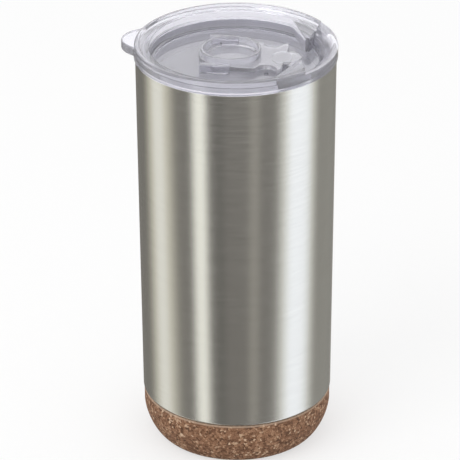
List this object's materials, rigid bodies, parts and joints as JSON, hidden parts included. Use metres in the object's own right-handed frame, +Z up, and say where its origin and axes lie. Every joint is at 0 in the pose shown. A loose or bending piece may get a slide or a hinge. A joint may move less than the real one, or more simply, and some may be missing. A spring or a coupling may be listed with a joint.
{
  "type": "insulated travel tumbler",
  "caption": "Insulated travel tumbler: double-walled brushed steel cup on a cork base, with a clear push-on lid that has a lift tab and a slide over its sip hole.",
  "frame": {"origin": "middle of the flat underside of the cork base, on the axis of the cup", "axes": "+Z up along the cup's axis, +X towards the sip side of the lid, so the lift tab is at -X"},
  "size_m": [0.0853, 0.08, 0.1705],
  "materials": {
    "shell_steel": "satin",
    "liner_steel": "satin",
    "base_steel": "satin",
    "bead_glass": "gloss",
    "getter_metal": "matte",
    "bond_film": "matte",
    "cork": "matte",
    "clear_plastic": "gloss",
    "silicone": "satin"
  },
  "bodies": {
    "cup": {"outer_shell": "shell_steel", "inner_liner": "liner_steel", "base_plate": "base_steel", "vacuum_bead": "bead_glass", "getter_pill": "getter_metal", "bond_disc": "bond_film", "cork_base": "cork"},
    "seal": {"lid_gasket": "silicone"},
    "lid": {"lid_body": "clear_plastic"},
    "closure": {"slide": "clear_plastic", "slide_pad": "silicone"}
  },
  "joints": [
    {"name": "lid_lift", "type": "slide", "parent": "cup", "child": "seal", "axis": [0, 0, 1], "range_m": [0, 0.03]},
    {"name": "lid_turn", "type": "hinge", "parent": "seal", "child": "lid", "pos_m": [0, 0, 0.1652], "axis": [0, 0, 1], "continuous": true},
    {"name": "slide_open", "type": "slide", "parent": "lid", "child": "closure", "axis": [-1, 0, 0], "range_m": [0, 0.012]}
  ]
}
